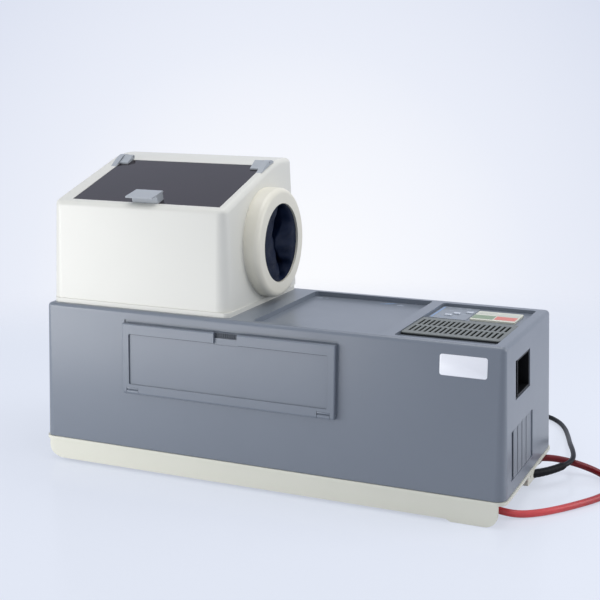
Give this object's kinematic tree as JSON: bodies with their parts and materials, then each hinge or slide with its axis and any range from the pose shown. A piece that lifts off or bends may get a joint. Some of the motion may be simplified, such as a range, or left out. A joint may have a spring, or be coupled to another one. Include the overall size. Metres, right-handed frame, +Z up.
{
  "type": "dental x-ray film processor",
  "caption": "Bench film processor with a long grey cover on a cream base tray, a front flap, a top grille and keys, a cream daylight loader with hand ports and a tinted lid, lead and hose",
  "frame": {"origin": "on the surface it stands on, below the middle of the machine without its lead and hose", "axes": "+X along the machine to the film outlet end, +Y to the back, +Z up"},
  "size_m": [0.7556, 0.4661, 0.4056],
  "materials": {
    "aluminium": "bare sheet",
    "base_cream": "smooth moulded, satin",
    "belt_rubber": "moulded",
    "black_plastic": "moulded",
    "board_green": "printed circuit board",
    "collar_ivory": "smooth moulded, satin",
    "cord_black": "extruded flex",
    "cover_grey": "fine textured, satin",
    "foot_rubber": "moulded",
    "hinge_grey": "smooth moulded",
    "hose_red": "extruded hose",
    "key_white": "moulded",
    "loader_cream": "fine textured, satin",
    "overlay_print": null,
    "pane_tint": "dark red tinted sheet, glossy",
    "plate_pale": null,
    "rack_plastic": "milled sheet",
    "roller_rubber": "ground",
    "sleeve_cloth": "coated black cloth",
    "steel": "bright zinc plated",
    "tank_plastic": "moulded"
  },
  "bodies": {
    "machine": {"base_tray": "base_cream", "rubber_feet": "foot_rubber", "main_cover": "cover_grey", "instruction_plate": "plate_pale", "control_overlay": "overlay_print", "control_board": "board_green", "outlet_chute": "black_plastic", "loader_shell": "loader_cream", "loader_seat": "loader_cream", "collar_left": "collar_ivory", "collar_right": "collar_ivory", "sleeve_left": "sleeve_cloth", "sleeve_right": "sleeve_cloth", "lid_cheeks": "hinge_grey", "film_inlet": "black_plastic", "tank_block": "tank_plastic", "rack_plate_front": "rack_plastic", "rack_plate_back": "rack_plastic", "rack_ties": "steel", "motor_body": "steel", "drive_belt": "belt_rubber", "dryer_hood": "aluminium", "heater": "steel", "fan_housing": "black_plastic", "transformer": "steel", "water_pump": "black_plastic", "hose_spigots": "black_plastic", "cord_clamp": "base_cream", "strain_relief": "black_plastic", "power_cord": "cord_black", "cord_coil": "cord_black", "plug_lead": "cord_black", "power_plug": "black_plastic", "drain_hose": "hose_red", "vent_grille": "cover_grey"},
    "flap": {"front_flap": "cover_grey", "flap_pins": "steel"},
    "lid": {"lid_pane": "pane_tint", "lid_leaves": "hinge_grey", "lid_pins": "steel"},
    "catch": {"lid_catch": "hinge_grey"},
    "start_key": {"key_start": "key_white"},
    "stop_key": {"key_stop": "key_white"},
    "fill_key": {"key_fill": "key_white"},
    "fan": {"fan_rotor": "black_plastic"},
    "motor_drive": {"motor_pulley": "rack_plastic"},
    "entry_roller_body": {"entry_roller": "roller_rubber"},
    "crossover_roller_1_body": {"crossover_roller_1": "roller_rubber"},
    "crossover_roller_2_body": {"crossover_roller_2": "roller_rubber"},
    "squeegee_roller_body": {"squeegee_roller": "roller_rubber"},
    "exit_roller_body": {"exit_roller": "roller_rubber"},
    "turn_roller_1_body": {"turn_roller_1": "roller_rubber"},
    "turn_roller_2_body": {"turn_roller_2": "roller_rubber"},
    "turn_roller_3_body": {"turn_roller_3": "roller_rubber"}
  },
  "joints": [
    {"name": "flap_hinge", "type": "hinge", "parent": "machine", "child": "flap", "pos_m": [-0.037, -0.11945, 0.11173], "axis": [1, 0, 0], "range_deg": [0, 105]},
    {"name": "lid_hinge", "type": "hinge", "parent": "machine", "child": "lid", "pos_m": [-0.169, 0.04669, 0.40247], "axis": [-1, 0, 0], "range_deg": [0, 100]},
    {"name": "catch_slide", "type": "slide", "parent": "lid", "child": "catch", "axis": [0, 0.9558, 0.2941], "range_m": [0, 0.005]},
    {"name": "start_press", "type": "slide", "parent": "machine", "child": "start_key", "axis": [0, 0, 1], "range_m": [-0.0006, 0], "stiffness_N_per_m": 400},
    {"name": "stop_press", "type": "slide", "parent": "machine", "child": "stop_key", "axis": [0, 0, 1], "range_m": [-0.0006, 0], "stiffness_N_per_m": 400},
    {"name": "fill_press", "type": "slide", "parent": "machine", "child": "fill_key", "axis": [0, 0, 1], "range_m": [-0.0006, 0], "stiffness_N_per_m": 400},
    {"name": "fan_spin", "type": "hinge", "parent": "machine", "child": "fan", "pos_m": [0.2445, -0.0335, 0.2], "axis": [0, 0, 1], "continuous": true},
    {"name": "motor_spin", "type": "hinge", "parent": "machine", "child": "motor_drive", "pos_m": [0.176, 0.08, 0.13], "axis": [0, 1, 0], "continuous": true},
    {"name": "entry_roller_spin", "type": "hinge", "parent": "machine", "child": "entry_roller_body", "pos_m": [-0.2675, 0, 0.168], "axis": [0, 1, 0], "continuous": true},
    {"name": "crossover_roller_1_spin", "type": "hinge", "parent": "machine", "child": "crossover_roller_1_body", "pos_m": [-0.15017, 0, 0.168], "axis": [0, 1, 0], "continuous": true},
    {"name": "crossover_roller_2_spin", "type": "hinge", "parent": "machine", "child": "crossover_roller_2_body", "pos_m": [-0.03283, 0, 0.168], "axis": [0, 1, 0], "continuous": true},
    {"name": "squeegee_roller_spin", "type": "hinge", "parent": "machine", "child": "squeegee_roller_body", "pos_m": [0.0845, 0, 0.168], "axis": [0, 1, 0], "continuous": true},
    {"name": "exit_roller_spin", "type": "hinge", "parent": "machine", "child": "exit_roller_body", "pos_m": [0.268, 0, 0.168], "axis": [0, 1, 0], "continuous": true},
    {"name": "turn_roller_1_spin", "type": "hinge", "parent": "machine", "child": "turn_roller_1_body", "pos_m": [-0.20883, 0, 0.062], "axis": [0, 1, 0], "continuous": true},
    {"name": "turn_roller_2_spin", "type": "hinge", "parent": "machine", "child": "turn_roller_2_body", "pos_m": [-0.0915, 0, 0.062], "axis": [0, 1, 0], "continuous": true},
    {"name": "turn_roller_3_spin", "type": "hinge", "parent": "machine", "child": "turn_roller_3_body", "pos_m": [0.02583, 0, 0.062], "axis": [0, 1, 0], "continuous": true}
  ],
  "couplings": [
    {"joint": "motor_spin", "follows": "entry_roller_spin", "ratio": 1.3941},
    {"joint": "crossover_roller_1_spin", "follows": "entry_roller_spin", "ratio": 1},
    {"joint": "crossover_roller_2_spin", "follows": "entry_roller_spin", "ratio": 1},
    {"joint": "squeegee_roller_spin", "follows": "entry_roller_spin", "ratio": 1},
    {"joint": "exit_roller_spin", "follows": "entry_roller_spin", "ratio": 1}
  ]
}
